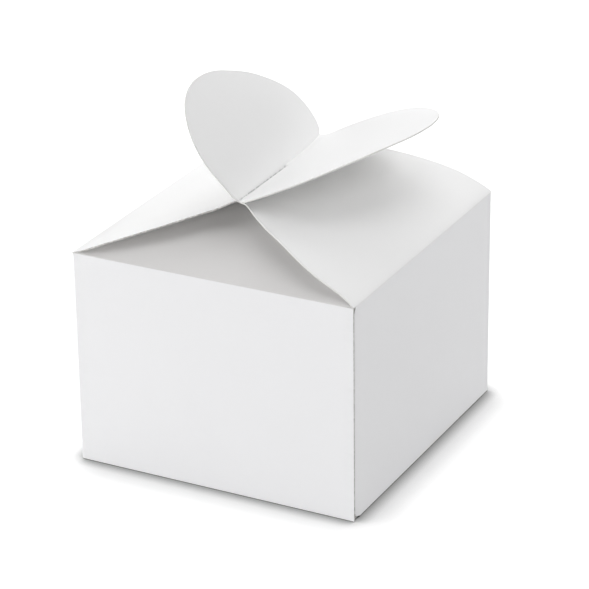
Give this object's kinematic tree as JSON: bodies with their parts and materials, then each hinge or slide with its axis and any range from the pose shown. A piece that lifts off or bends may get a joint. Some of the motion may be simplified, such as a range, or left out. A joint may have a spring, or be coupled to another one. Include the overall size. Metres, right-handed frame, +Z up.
{
  "type": "interlocking petal-top favour box",
  "caption": "Low white card box, nearly square in plan, closed on top by two bowed flaps whose round petals interlock in slits, with dust flaps below and a tucked bottom.",
  "frame": {"origin": "on the surface that the box stands on, under the middle of its plan", "axes": "+Z up, +X from the left flap to the right flap, +Y from the front wall to the rear wall"},
  "size_m": [0.08, 0.084, 0.1036],
  "materials": {
    "card_wall": "smooth matt white board with a faint fibre tooth",
    "card_flap": "smooth matt white board, creased and curled by hand",
    "card_inside": "uncoated white board seen from inside",
    "glue": "dried paste film"
  },
  "bodies": {
    "box_body": {"front_panel": "card_wall", "right_panel": "card_wall", "rear_panel": "card_wall", "left_panel": "card_wall", "glue_tab": "card_inside", "seam_glue": "glue"},
    "left_closing_flap": {"left_flap": "card_flap", "left_petal": "card_flap"},
    "right_closing_flap": {"right_flap": "card_flap", "right_petal": "card_flap"},
    "front_dust": {"front_dust_flap": "card_flap"},
    "rear_dust": {"rear_dust_flap": "card_flap"},
    "bottom": {"bottom_panel": "card_wall"},
    "tongue": {"tuck_tongue": "card_inside"},
    "left_bottom_dust": {"left_bottom_dust_flap": "card_inside"},
    "right_bottom_dust": {"right_bottom_dust_flap": "card_inside"}
  },
  "joints": [
    {"name": "left_flap_fold", "type": "hinge", "parent": "box_body", "child": "left_closing_flap", "pos_m": [-0.0398, 0, 0.059], "axis": [0, -1, 0], "range_deg": [0, 150], "deforming": ["left_petal"]},
    {"name": "right_flap_fold", "type": "hinge", "parent": "box_body", "child": "right_closing_flap", "pos_m": [0.0398, 0, 0.059], "axis": [0, 1, 0], "range_deg": [0, 150], "deforming": ["right_petal"]},
    {"name": "front_dust_flap_fold", "type": "hinge", "parent": "box_body", "child": "front_dust", "pos_m": [0, -0.0418, 0.059], "axis": [1, 0, 0], "range_deg": [0, 120]},
    {"name": "rear_dust_flap_fold", "type": "hinge", "parent": "box_body", "child": "rear_dust", "pos_m": [0, 0.0418, 0.059], "axis": [-1, 0, 0], "range_deg": [0, 120]},
    {"name": "bottom_panel_fold", "type": "hinge", "parent": "box_body", "child": "bottom", "pos_m": [0, 0.0418, 0.0002], "axis": [1, 0, 0], "range_deg": [0, 120]},
    {"name": "tuck_tongue_fold", "type": "hinge", "parent": "bottom", "child": "tongue", "pos_m": [0, -0.04055, 0.0002], "axis": [1, 0, 0], "range_deg": [0, 36]},
    {"name": "left_bottom_dust_flap_fold", "type": "hinge", "parent": "box_body", "child": "left_bottom_dust", "pos_m": [-0.0398, 0, 0.0007], "axis": [0, 1, 0], "range_deg": [0, 84]},
    {"name": "right_bottom_dust_flap_fold", "type": "hinge", "parent": "box_body", "child": "right_bottom_dust", "pos_m": [0.0398, 0, 0.0007], "axis": [0, -1, 0], "range_deg": [0, 84]}
  ],
  "couplings": [
    {"joint": "right_flap_fold", "follows": "left_flap_fold", "ratio": 1},
    {"joint": "front_dust_flap_fold", "follows": "left_flap_fold", "ratio": 0.8},
    {"joint": "rear_dust_flap_fold", "follows": "left_flap_fold", "ratio": 0.8},
    {"joint": "tuck_tongue_fold", "follows": "bottom_panel_fold", "ratio": 0.3},
    {"joint": "left_bottom_dust_flap_fold", "follows": "bottom_panel_fold", "ratio": 0.7},
    {"joint": "right_bottom_dust_flap_fold", "follows": "bottom_panel_fold", "ratio": 0.7}
  ]
}
